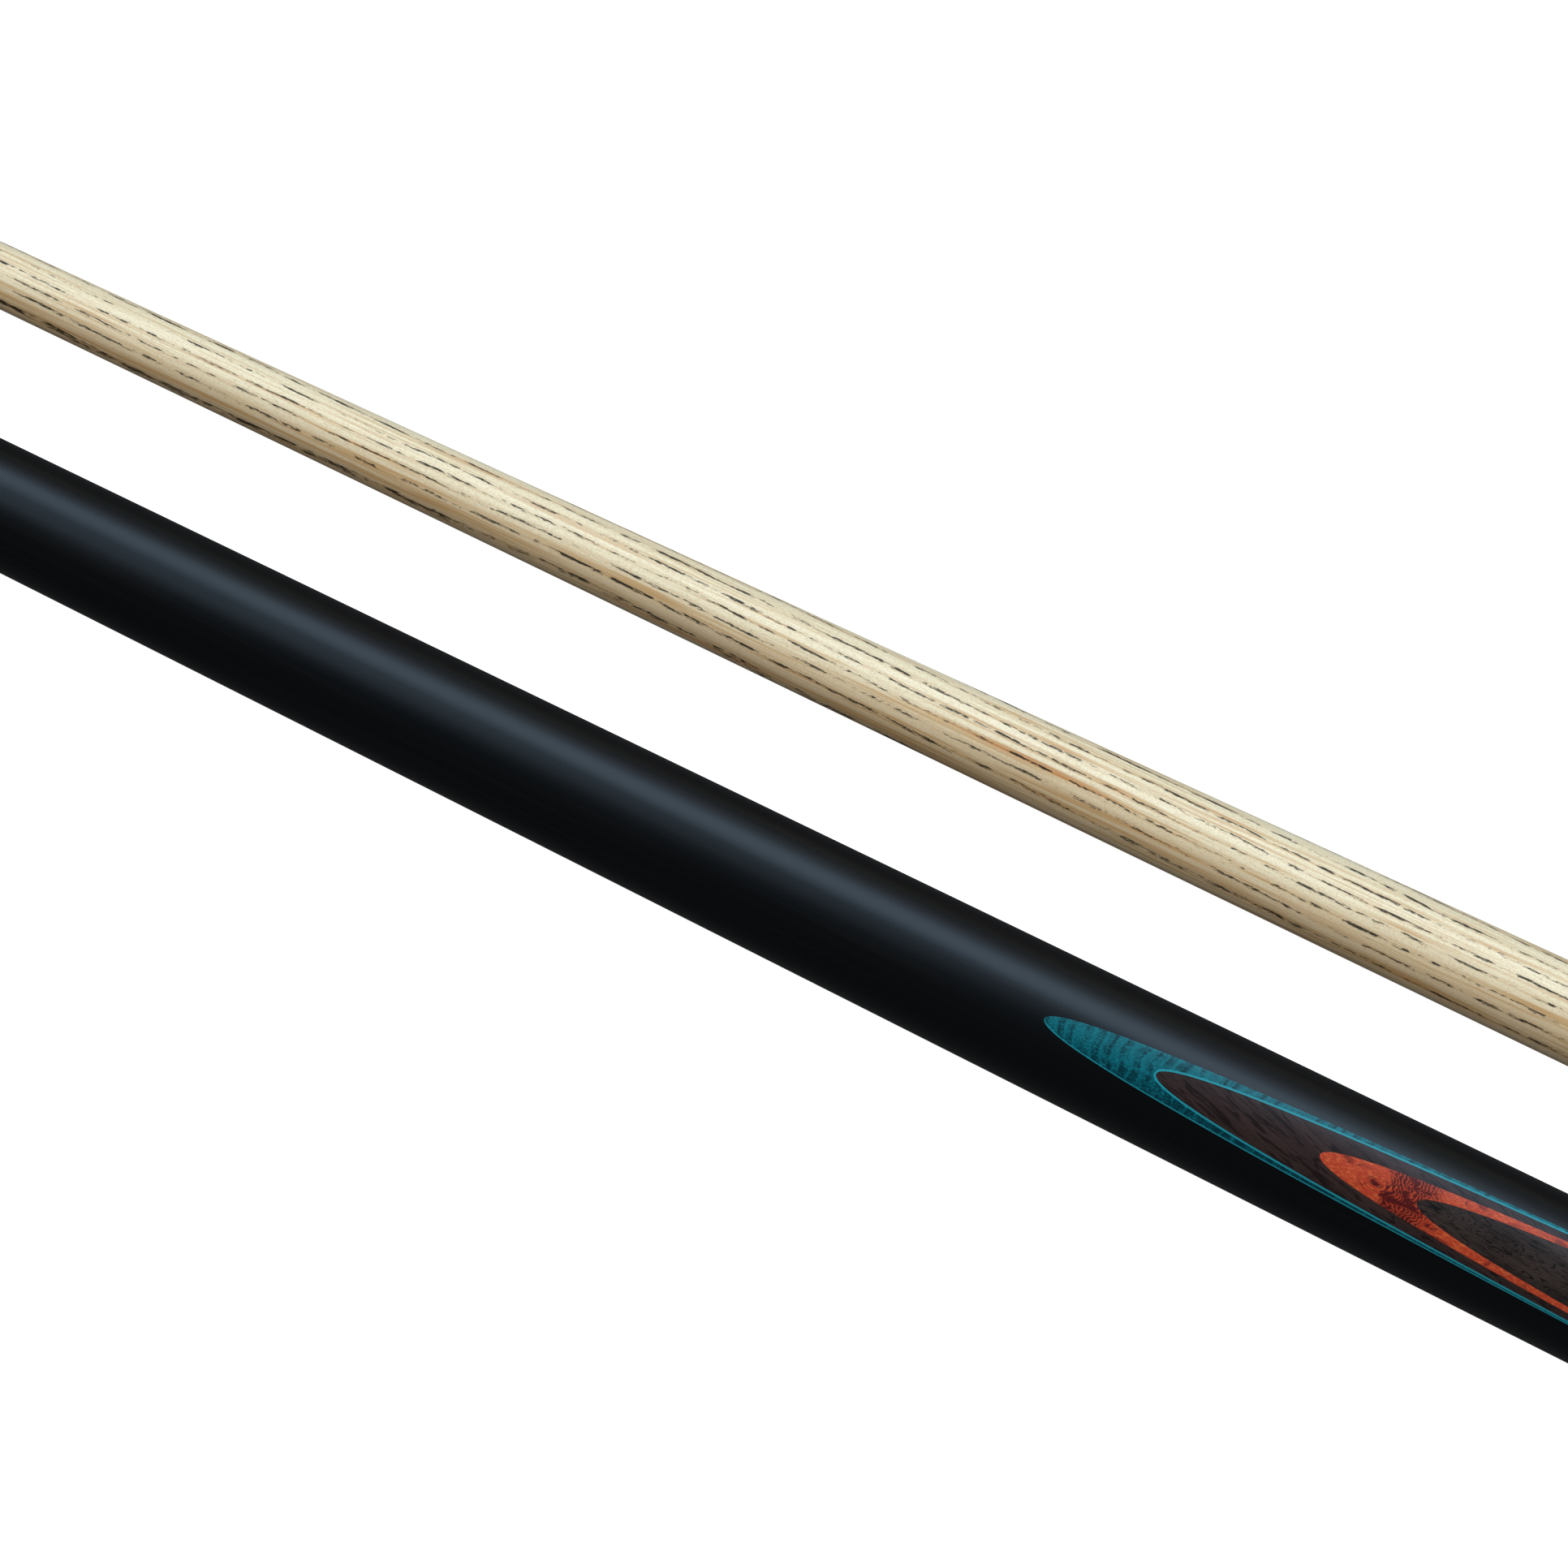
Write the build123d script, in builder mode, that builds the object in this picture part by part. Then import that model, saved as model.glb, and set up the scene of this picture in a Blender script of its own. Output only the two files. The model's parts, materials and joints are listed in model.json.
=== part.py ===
from build123d import *
from math import atan, cos, degrees
import os

# A two-piece pool cue with an ash shaft and a spliced ebony butt, unscrewed, with its halves side by side.
#
# Both halves are drawn screwed together along X: the joint faces meet at x = 0, the shaft and its tip are on
# the -X side, the butt and its bumper are on the +X side, and the spliced front of the butt faces +Z.
# At the end each half is laid down on the table, z = 0, with the shaft beside the butt.
# Sizes are in millimetres.

# Overall sizes
shaft_length = 724.0  # joint face to the crown of the tip
butt_length = 724.0  # joint face to the end of the bumper
butt_diameter = 29.5  # at the end of the wood
tip_diameter = 9.0

# Joint: a steel pin stands out of the butt and screws into a brass insert in the shaft
pin_diameter = 8.0
pin_reach = 28.0  # how far the pin stands out of the butt
pin_chamfer = 1.0
anchor_diameter = 9.4  # the thicker end that is glued into the butt
anchor_length = 34.0
joint_clearance = 0.05  # all round, between the pin and the insert
bore_spare = 2.0  # the insert is bored deeper than the pin reaches by this
insert_floor = 2.0
insert_wall = 2.4
tenon_wall = 1.15  # wood left between the insert and the collar
collar_wall = 1.8
collar_length = 12.0
collar_face = 1.5  # thickness of the collar's end over the wood
collar_groove = 0.25  # depth of the turned lines round the collars
collar_groove_width = 0.6
collar_groove_places = (0.25, 0.75)  # as shares of the collar's length

# Tip end
ferrule_length = 11.0
ferrule_wall = 0.65
ferrule_cap = 1.2
ferrule_overhang = 0.05  # the ferrule stands this far outside the leather
tip_side = 2.6  # straight side of the leather
tip_crown = 2.0  # height of its dome

# Spliced points of the butt: four ebony slabs glued on a square ash core.
# Seen from the side each face of the core is one curve, given from where it enters the wood at a tip.
point_start = 70.0  # where the tips of the points begin
point_curve = ((-4.0, 0.15), (40.0, -1.2))  # how far along and up the curve's first control points lie
ramp_end = 350.0  # where the slabs stop getting thicker and the core runs straight on
core_wall = 0.6  # ash left between the socket and the slabs

# Spliced front: four layers, each glued into a long shallow cut planed through the one before.
# Seen from the side every cut is the same curve, which enters the crown of the butt at its own place.
# The curve's three control points are given as how far along and how far up from there they lie.
cut_starts = {"teal": 520.2, "dark": 543.1, "orange": 576.6, "heart": 596.4}
cut_curve = ((-4.25, 0.139), (23.24, -0.941), (203.0, -2.15))

# Butt end
plate_thickness = 2.0
washer_thickness = 1.0
washer_radius = 10.5
bumper_length = 9.0
bumper_radius = 13.2
bumper_fillet = 2.5
bumper_mouth = 4.6  # radius of the hole that shows the stud's head
stud_diameter = 10.0
stud_reach = 14.0  # how deep it screws into the socket
stud_head_radius = 7.5
stud_head_thickness = 3.5
stud_head_setback = 1.5  # rubber between the washer and the head
hex_across_corners = 5.8
hex_depth = 2.5
socket_wall = 1.7
socket_length = 26.0
socket_clearance = 0.1
weight_diameter = 10.0
weight_length = 110.0
weight_gap = 4.0  # between the weight and the socket

# How the halves lie on the table
lay_gap = 21.3  # between the butt and the joint end of the shaft
lay_yaw = 1.04  # turn of the shaft away from the butt, in degrees
butt_roll = 1.6  # turn of the spliced front away from straight up, in degrees
shaft_ahead = 68.9  # how far the tip lies past the joint face of the butt

# Sizes that follow
pin_radius = pin_diameter / 2
anchor_radius = anchor_diameter / 2
bore_radius = pin_radius + joint_clearance
bore_depth = pin_reach + bore_spare
insert_radius = bore_radius + insert_wall
insert_end = bore_depth + insert_floor
tenon_radius = insert_radius + tenon_wall
joint_radius = tenon_radius + collar_wall
butt_radius = butt_diameter / 2
tip_radius = tip_diameter / 2
ferrule_radius = tip_radius + ferrule_overhang
stud_radius = stud_diameter / 2
socket_bore = stud_radius + socket_clearance
socket_radius = socket_bore + socket_wall
weight_radius = weight_diameter / 2

ferrule_front = tip_side + tip_crown - shaft_length
ferrule_back = ferrule_front + ferrule_length
plate_end = butt_length - bumper_length - washer_thickness
wood_end = plate_end - plate_thickness
bumper_start = butt_length - bumper_length
margin = 5.0  # how far a cutting body reaches past what it cuts


# Turned pieces are drawn on a plane that stands away from the tips of the splices
turning = Plane.XZ.rotated((150, 0, 0))


def taper(start, end, shares):
    """The outline of a turned half, from one (x, radius) to another.
    Each share gives a place between them and how much of the swell is reached there."""
    run, swell = end[0] - start[0], end[1] - start[1]
    between = [(start[0] + run * along, start[1] + swell * grown) for along, grown in shares]
    return Spline(start, *between, end)


shaft_line = taper(
    (0, joint_radius),
    (ferrule_front, ferrule_radius),
    [(0.07, 0.094), (0.30, 0.45), (0.49, 0.721), (0.73, 0.93)],
)
butt_line = taper(
    (0, joint_radius),
    (wood_end, butt_radius),
    [(0.428, 0.35), (0.732, 0.708), (0.883, 0.88)],
)


def radius_at(line, x):
    """The radius of a turned outline at x, read between finely spaced points on it."""
    steps = 200
    places = [line @ (step / steps) for step in range(steps + 1)]
    for near, far in zip(places, places[1:]):
        if min(near.X, far.X) <= x <= max(near.X, far.X):
            return near.Y + (far.Y - near.Y) * (x - near.X) / (far.X - near.X)
    raise ValueError(f"x = {x} is past the ends of the outline")


def turned_section(line, start, end, bore=0):
    """Half of a lengthwise section, between the outline and a bore, from start to end."""
    with BuildSketch(turning) as section:
        with BuildLine():
            add(line)
            first, last = line @ 0, line @ 1
            Polyline((first.X, first.Y), (first.X, bore), (last.X, bore), (last.X, last.Y))
        make_face()
        with Locations(((start + end) / 2, butt_radius / 2)):
            Rectangle(abs(end - start), 2 * butt_radius, mode=Mode.INTERSECT)
    return section.sketch


def ring_section(start, end, inner, outer):
    """A rectangle that revolves into a plain ring, or a cylinder when inner is 0."""
    with BuildSketch(turning) as section:
        with BuildLine():
            Polyline((start, inner), (end, inner), (end, outer), (start, outer), close=True)
        make_face()
    return section.sketch


# Shaft half

with BuildPart() as leather_tip:
    with BuildSketch(Plane.XZ):
        with BuildLine():
            crown = -shaft_length
            Line((crown + tip_crown, tip_radius), (ferrule_front, tip_radius))
            Polyline((ferrule_front, tip_radius), (ferrule_front, 0), (crown, 0))
            dome_radius = (tip_radius**2 + tip_crown**2) / (2 * tip_crown)
            RadiusArc((crown, 0), (crown + tip_crown, tip_radius), dome_radius)
        make_face()
    revolve(axis=Axis.X)
leather_tip.part.label = "leather_tip"

ferrule_tenon = ferrule_radius - ferrule_wall
with BuildPart() as tip_ferrule:
    revolve(turned_section(shaft_line, ferrule_back, ferrule_front), axis=Axis.X)
    revolve(
        ring_section(ferrule_front + ferrule_cap, ferrule_back, 0, ferrule_tenon),
        axis=Axis.X,
        mode=Mode.SUBTRACT,
    )
tip_ferrule.part.label = "tip_ferrule"

with BuildPart() as shaft_wood:
    revolve(turned_section(shaft_line, -collar_length, ferrule_back), axis=Axis.X)
    revolve(ring_section(ferrule_front + ferrule_cap, ferrule_back, 0, ferrule_tenon), axis=Axis.X)
    revolve(ring_section(-collar_length, -collar_face, 0, tenon_radius), axis=Axis.X)
    insert_seat = ring_section(-insert_end, 0, 0, insert_radius)
    revolve(insert_seat, axis=Axis.X, mode=Mode.SUBTRACT)
shaft_wood.part.label = "shaft_wood"

with BuildPart() as shaft_insert:
    revolve(insert_seat, axis=Axis.X)
    revolve(ring_section(-bore_depth, 0, 0, bore_radius), axis=Axis.X, mode=Mode.SUBTRACT)
shaft_insert.part.label = "shaft_insert"


def groove_section(line, x):
    """The section of one turned line round a collar."""
    outer = radius_at(line, x)
    half = collar_groove_width / 2
    return ring_section(x - half, x + half, outer - collar_groove, outer + margin)


with BuildPart() as shaft_collar:
    revolve(turned_section(shaft_line, 0, -collar_length), axis=Axis.X)
    tenon_room = ring_section(-collar_length, -collar_face, 0, tenon_radius)
    revolve(tenon_room, axis=Axis.X, mode=Mode.SUBTRACT)
    revolve(insert_seat, axis=Axis.X, mode=Mode.SUBTRACT)
    for place in collar_groove_places:
        groove = groove_section(shaft_line, -place * collar_length)
        revolve(groove, axis=Axis.X, mode=Mode.SUBTRACT)
shaft_collar.part.label = "shaft_collar"

# Butt half: joint

with BuildPart() as joint_pin:
    revolve(ring_section(-pin_reach, 0, 0, pin_radius), axis=Axis.X)
    revolve(ring_section(0, anchor_length, 0, anchor_radius), axis=Axis.X)
    free_end = joint_pin.edges().filter_by(GeomType.CIRCLE).group_by(Axis.X)[0]
    chamfer(free_end, length=pin_chamfer)
joint_pin.part.label = "joint_pin"

with BuildPart() as butt_collar:
    revolve(turned_section(butt_line, 0, collar_length), axis=Axis.X)
    tenon_room = ring_section(collar_face, collar_length, 0, tenon_radius)
    revolve(tenon_room, axis=Axis.X, mode=Mode.SUBTRACT)
    revolve(ring_section(0, collar_face, 0, anchor_radius), axis=Axis.X, mode=Mode.SUBTRACT)
    for place in collar_groove_places:
        groove = groove_section(butt_line, place * collar_length)
        revolve(groove, axis=Axis.X, mode=Mode.SUBTRACT)
butt_collar.part.label = "butt_collar"

# Butt half: ash core and ebony slabs

core_half = socket_radius + core_wall
weight_end = wood_end - socket_length - weight_gap
weight_start = weight_end - weight_length


def core_section(plane):
    """The core seen square to two of its flats: full at the joint, sunk at the points, then straight."""
    tip = (point_start, radius_at(butt_line, point_start))
    near, bend = [(tip[0] + along, tip[1] + up) for along, up in point_curve]
    with BuildSketch(plane) as section:
        with BuildLine() as half:
            Polyline((-margin, 0), (-margin, butt_radius), (near[0], butt_radius), near)
            Bezier(near, bend, (ramp_end, core_half))
            Polyline((ramp_end, core_half), (wood_end + margin, core_half), (wood_end + margin, 0))
            mirror(half.line, about=Plane.XZ)
        make_face()
    return section.sketch


butt_section = turned_section(butt_line, 0, wood_end)

with BuildPart() as ash_core:
    revolve(butt_section, axis=Axis.X)
    extrude(core_section(Plane.XZ), amount=butt_diameter, both=True, mode=Mode.INTERSECT)
    extrude(core_section(Plane.XY), amount=butt_diameter, both=True, mode=Mode.INTERSECT)
    collar_seat = ring_section(0, collar_length, tenon_radius, butt_radius)
    face_seat = ring_section(0, collar_face, 0, butt_radius)
    pin_seat = ring_section(0, anchor_length, 0, anchor_radius)
    weight_seat = ring_section(weight_start, wood_end, 0, weight_radius)
    socket_seat = ring_section(wood_end - socket_length, wood_end, 0, socket_radius)
    for seat in (collar_seat, face_seat, pin_seat, weight_seat, socket_seat):
        revolve(seat, axis=Axis.X, mode=Mode.SUBTRACT)
ash_core.part.label = "ash_core"


def side_slab(keep):
    """One of the two slabs between the top and bottom ones."""
    with BuildPart() as slab:
        revolve(butt_section, axis=Axis.X)
        extrude(core_section(Plane.XZ), amount=butt_diameter, both=True, mode=Mode.INTERSECT)
        extrude(core_section(Plane.XY), amount=butt_diameter, both=True, mode=Mode.SUBTRACT)
        split(bisect_by=Plane.ZX, keep=keep)
    return slab.part


with BuildPart() as ebony_left:
    add(side_slab(Keep.TOP))
ebony_left.part.label = "ebony_left"

with BuildPart() as ebony_right:
    add(side_slab(Keep.BOTTOM))
ebony_right.part.label = "ebony_right"

with BuildPart() as ebony_bottom:
    revolve(butt_section, axis=Axis.X)
    extrude(core_section(Plane.XZ), amount=butt_diameter, both=True, mode=Mode.SUBTRACT)
    split(bisect_by=Plane.XY, keep=Keep.BOTTOM)
ebony_bottom.part.label = "ebony_bottom"

# Butt half: spliced front


def above_cut(start):
    """What lies above one of the long cuts, seen from the side, drawn flat."""
    crown = radius_at(butt_line, start)
    near, bend, far = [(start + along, crown + up) for along, up in cut_curve]
    with BuildSketch() as above:
        with BuildLine():
            Bezier(near, bend, far)
            Polyline(far, (far[0], butt_diameter), (near[0], butt_diameter), near)
        make_face()
    return above.sketch


def layer_section(name):
    """The side view of one glued layer, from its own cut up to the next one."""
    names = list(cut_starts)
    following = names[names.index(name) + 1 :]
    with BuildSketch(Plane.XZ) as section:
        add(above_cut(cut_starts[name]))
        if following:
            add(above_cut(cut_starts[following[0]]), mode=Mode.SUBTRACT)
    return section.sketch


with BuildPart() as ebony_top:
    revolve(butt_section, axis=Axis.X)
    extrude(core_section(Plane.XZ), amount=butt_diameter, both=True, mode=Mode.SUBTRACT)
    split(bisect_by=Plane.XY, keep=Keep.TOP)
    with BuildSketch(Plane.XZ) as first_cut:
        add(above_cut(cut_starts["teal"]))
    extrude(amount=butt_diameter, both=True, mode=Mode.SUBTRACT)
ebony_top.part.label = "ebony_top"

with BuildPart() as splice_teal:
    revolve(butt_section, axis=Axis.X)
    extrude(layer_section("teal"), amount=butt_diameter, both=True, mode=Mode.INTERSECT)
splice_teal.part.label = "splice_teal"

with BuildPart() as splice_dark:
    revolve(butt_section, axis=Axis.X)
    extrude(layer_section("dark"), amount=butt_diameter, both=True, mode=Mode.INTERSECT)
splice_dark.part.label = "splice_dark"

with BuildPart() as splice_orange:
    revolve(butt_section, axis=Axis.X)
    extrude(layer_section("orange"), amount=butt_diameter, both=True, mode=Mode.INTERSECT)
splice_orange.part.label = "splice_orange"

with BuildPart() as splice_heart:
    revolve(butt_section, axis=Axis.X)
    extrude(layer_section("heart"), amount=butt_diameter, both=True, mode=Mode.INTERSECT)
splice_heart.part.label = "splice_heart"

# Butt half: weight, socket, plate and bumper

with BuildPart() as balance_weight:
    revolve(ring_section(weight_start, weight_end, 0, weight_radius), axis=Axis.X)
balance_weight.part.label = "balance_weight"

with BuildPart() as extension_socket:
    revolve(
        ring_section(wood_end - socket_length, wood_end, socket_bore, socket_radius), axis=Axis.X
    )
extension_socket.part.label = "extension_socket"

with BuildPart() as butt_plate:
    revolve(ring_section(wood_end, plate_end, socket_bore, butt_radius), axis=Axis.X)
butt_plate.part.label = "butt_plate"

with BuildPart() as bumper_washer:
    revolve(ring_section(plate_end, bumper_start, socket_bore, washer_radius), axis=Axis.X)
bumper_washer.part.label = "bumper_washer"

head_start = bumper_start + stud_head_setback
head_end = head_start + stud_head_thickness
with BuildPart() as bumper_stud:
    with BuildSketch(Plane.XZ):
        with BuildLine():
            Polyline(
                (plate_end - stud_reach, 0),
                (plate_end - stud_reach, stud_radius),
                (head_start, stud_radius),
                (head_start, stud_head_radius),
                (head_end, stud_head_radius),
                (head_end, 0),
                close=True,
            )
        make_face()
    revolve(axis=Axis.X)
    with BuildSketch(Plane.YZ.offset(head_end)):
        RegularPolygon(radius=hex_across_corners / 2, side_count=6)
    extrude(amount=-hex_depth, mode=Mode.SUBTRACT)
bumper_stud.part.label = "bumper_stud"

with BuildPart() as rubber_bumper:
    revolve(ring_section(bumper_start, butt_length, 0, bumper_radius), axis=Axis.X)
    end_edges = rubber_bumper.edges().filter_by(GeomType.CIRCLE).group_by(Axis.X)[-1]
    fillet(end_edges, radius=bumper_fillet)
    neck = ring_section(bumper_start, head_start, 0, stud_radius)
    head_room = ring_section(head_start, head_end, 0, stud_head_radius)
    mouth = ring_section(head_end, butt_length, 0, bumper_mouth)
    for hollow in (neck, head_room, mouth):
        revolve(hollow, axis=Axis.X, mode=Mode.SUBTRACT)
rubber_bumper.part.label = "rubber_bumper"

# Laying the halves down: each rests on the table on the rims of its two ends

butt_tilt = atan((butt_radius - joint_radius) / wood_end)
shaft_tilt = atan((joint_radius - ferrule_radius) / -ferrule_front)
butt_lay = Location((0, 0, joint_radius * cos(butt_tilt)), (0, -degrees(butt_tilt), 0)) * Location(
    (0, 0, 0), (-butt_roll, 0, 0)
)

shaft_joint_x = shaft_length - shaft_ahead
lay_side = radius_at(butt_line, shaft_joint_x) + lay_gap + joint_radius
shaft_lay = (
    Location((shaft_joint_x, lay_side, joint_radius * cos(shaft_tilt)))
    * Location((0, 0, 0), (0, 0, lay_yaw))
    * Location((0, 0, 0), (0, -degrees(shaft_tilt), 0))
)

shaft_half = [leather_tip, tip_ferrule, shaft_wood, shaft_insert, shaft_collar]
butt_half = [
    joint_pin,
    butt_collar,
    ash_core,
    ebony_top,
    ebony_bottom,
    ebony_left,
    ebony_right,
    splice_teal,
    splice_dark,
    splice_orange,
    splice_heart,
    balance_weight,
    extension_socket,
    butt_plate,
    bumper_washer,
    bumper_stud,
    rubber_bumper,
]
laid = [piece.part.moved(shaft_lay) for piece in shaft_half]
laid += [piece.part.moved(butt_lay) for piece in butt_half]

# The origin is at the middle of the footprint, on the table
footprint = Compound(children=laid).bounding_box()
to_middle = Location((-footprint.center().X, -footprint.center().Y, 0))

os.makedirs("parts", exist_ok=True)
for piece in [*shaft_half, *butt_half]:
    lay = shaft_lay if piece in shaft_half else butt_lay
    export_step(piece.part.moved(to_middle * lay), f"parts/{piece.part.label}.step")
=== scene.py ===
import json
import math
import bmesh
import bpy
import numpy as np
from mathutils import Matrix, Vector


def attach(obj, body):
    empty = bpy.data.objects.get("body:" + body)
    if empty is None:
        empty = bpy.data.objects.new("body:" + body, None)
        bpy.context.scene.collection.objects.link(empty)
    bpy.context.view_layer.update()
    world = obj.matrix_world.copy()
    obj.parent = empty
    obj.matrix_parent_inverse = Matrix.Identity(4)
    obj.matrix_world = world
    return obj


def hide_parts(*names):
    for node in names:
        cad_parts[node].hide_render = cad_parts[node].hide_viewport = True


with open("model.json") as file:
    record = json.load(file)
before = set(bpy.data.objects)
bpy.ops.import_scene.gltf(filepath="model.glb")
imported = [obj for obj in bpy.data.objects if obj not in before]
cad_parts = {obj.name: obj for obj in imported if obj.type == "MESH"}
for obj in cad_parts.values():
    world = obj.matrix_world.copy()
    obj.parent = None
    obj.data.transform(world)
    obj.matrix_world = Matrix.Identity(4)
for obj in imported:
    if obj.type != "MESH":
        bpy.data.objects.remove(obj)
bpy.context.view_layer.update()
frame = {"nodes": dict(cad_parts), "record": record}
mounts = {mount["name"]: mount for mount in frame["record"]["mounts"]}
mm = 0.001

# Where the halves lie. Each has its own axes: x along it from the joint face, y across the table, z up.


def layHalf(face, along, roll=0.0):
    along = Vector(along).normalized()
    across = Vector((0, 0, 1)).cross(along).normalized()
    up = along.cross(across)
    lay = Matrix((along, across, up)).transposed().to_4x4()
    lay.translation = face
    return lay @ Matrix.Rotation(roll, 4, "X")


pinMount, boreMount = mounts["joint_thread"], mounts["shaft_thread"]
pinAxis, boreAxis = Vector(pinMount["axis"]), Vector(boreMount["axis"])
buttFace = Vector(pinMount["pos_m"]) - pinAxis * pinMount["dims"]["length_mm"] / 2 * mm
shaftFace = Vector(boreMount["pos_m"]) + boreAxis * boreMount["dims"]["length_mm"] / 2 * mm
buttRoll = math.radians(-1.6)
buttLay = layHalf(buttFace, -pinAxis, buttRoll)
shaftLay = layHalf(shaftFace, -boreAxis)

# Turned sizes, in millimetres

joint = {
    "pinRadius": 4.0,
    "pinReach": 28.0,
    "anchorRadius": 4.7,
    "anchorLength": 34.0,
    "boreRadius": 4.05,
    "boreDepth": 30.0,
    "insertRadius": 6.45,
    "insertEnd": 32.0,
    "tenonRadius": 7.6,
    "collarLength": 12.0,
    "collarFace": 1.5,
    "grooveDepth": 0.25,
    "grooveWidth": 0.6,
    "groovePlaces": (0.25, 0.75),  # shares of the collar's length
    "grooveFloor": 0.6,  # share of the groove's width
    "collarEase": 0.2,
    "threadPitch": 1.25,
    "threadDepth": 0.55,
    "pinBevel": 1.0,
    "pinNeck": 1.5,  # plain steel between its thread and the collar
    "boreMouth": 1.2,
    "boreFlare": 0.4,
    "boreNeck": 2.0,  # plain brass past the insert's thread
}
shaft = {
    "outline": [
        (0, 9.4),
        (50.36, 8.944),
        (215.8, 7.218),
        (352.5, 5.903),
        (525.2, 4.890),
        (719.4, 4.55),
    ],
    "ferruleBack": 708.4,
    "ferruleFront": 719.4,
    "ferruleTenon": 3.9,
    "ferruleCap": 1.2,
    "ferruleEase": 0.15,
    "tipRadius": 4.5,
    "tipBevel": (0.12, 0.1),
    "tipShoulder": 722.0,
    "tipEnd": 724.0,
}
butt = {
    "outline": [(0, 9.4), (304.7, 11.273), (521.2, 13.188), (628.7, 14.108), (712, 14.75)],
    "woodEnd": 712.0,
    "plateEnd": 714.0,
    "plateEase": 0.3,
    "washerEnd": 715.0,
    "end": 724.0,
    "coreHalf": 7.4,
    "pointStart": 70.0,
    "rampEnd": 350.0,
    "pointCurve": ((-4.0, 0.15), (40.0, -1.2)),
    "cutStarts": (520.2, 543.1, 576.6, 596.4),
    "cutCurve": ((-4.25, 0.139), (23.24, -0.941), (203.0, -2.15)),
    "socketRadius": 6.8,
    "socketBore": 5.1,
    "socketLength": 26.0,
    "weightRadius": 5.0,
    "weightStart": 572.0,
}


def throughPoints(points):
    # the smooth turned outline through a few known radii
    at = np.array([x for x, r in points]) / points[-1][0]
    curve = np.polyfit(at, [r for x, r in points], len(points) - 1)
    return lambda x: float(np.polyval(curve, x / points[-1][0]))


shaftRadius = throughPoints(shaft["outline"])
buttRadius = throughPoints(butt["outline"])


def slopeAt(height, x):
    return height(x + 0.5) - height(x - 0.5)


def curveHeight(x, near, bend, far):
    # height of a curve with three control points above a place along the cue
    a = near[0] - 2 * bend[0] + far[0]
    b = 2 * (bend[0] - near[0])
    t = (-b + math.sqrt(b * b - 4 * a * (near[0] - x))) / (2 * a)
    return near[1] * (1 - t) ** 2 + 2 * bend[1] * t * (1 - t) + far[1] * t * t


def cutHeight(x, layer):
    start = butt["cutStarts"][layer]
    crown = buttRadius(start)
    return curveHeight(x, *[(start + along, crown + up) for along, up in butt["cutCurve"]])


def coreHeight(x):
    crown = buttRadius(butt["pointStart"])
    near, bend = [(butt["pointStart"] + along, crown + up) for along, up in butt["pointCurve"]]
    if x <= near[0]:
        return 2 * crown
    if x >= butt["rampEnd"]:
        return butt["coreHalf"]
    return curveHeight(x, near, bend, (butt["rampEnd"], butt["coreHalf"]))


tipSearch = {"reach": 3.5, "halvings": 50}


def whereItSurfaces(height, guess):
    # the tip of a splice: where its surface leaves the turned wood
    low, high = guess - tipSearch["reach"], guess + tipSearch["reach"]
    for halving in range(tipSearch["halvings"]):
        middle = (low + high) / 2
        if height(middle) > buttRadius(middle):
            low = middle
        else:
            high = middle
    return high


pointTip = whereItSurfaces(coreHeight, butt["pointStart"])
cutTips = [
    whereItSurfaces(lambda x, layer=layer: cutHeight(x, layer), start)
    for layer, start in enumerate(butt["cutStarts"])
]

# Places along the butt, closer together just after each tip
spacing = {"plain": 6.0, "tipRun": 44.0, "tipSteps": 22, "least": 1e-3}


def buttStations():
    places = set(np.arange(joint["collarLength"], butt["woodEnd"], spacing["plain"]).tolist())
    places.add(butt["woodEnd"])
    run, steps = spacing["tipRun"], spacing["tipSteps"]
    for tip in [pointTip, *cutTips]:
        places = {x for x in places if not tip - 1 < x < tip + run / 2}
        places.update(tip + run * (step / steps) ** 2 for step in range(steps + 1))
    places = sorted(round(x, 5) for x in places)
    return [x for x, after in zip(places, places[1:] + [math.inf]) if after - x > spacing["least"]]


stations = buttStations()
print("laid out", len(stations), "stations along the butt")

# Meshes

weld = {"merge": 2e-4, "sliver": 1e-5}


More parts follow.
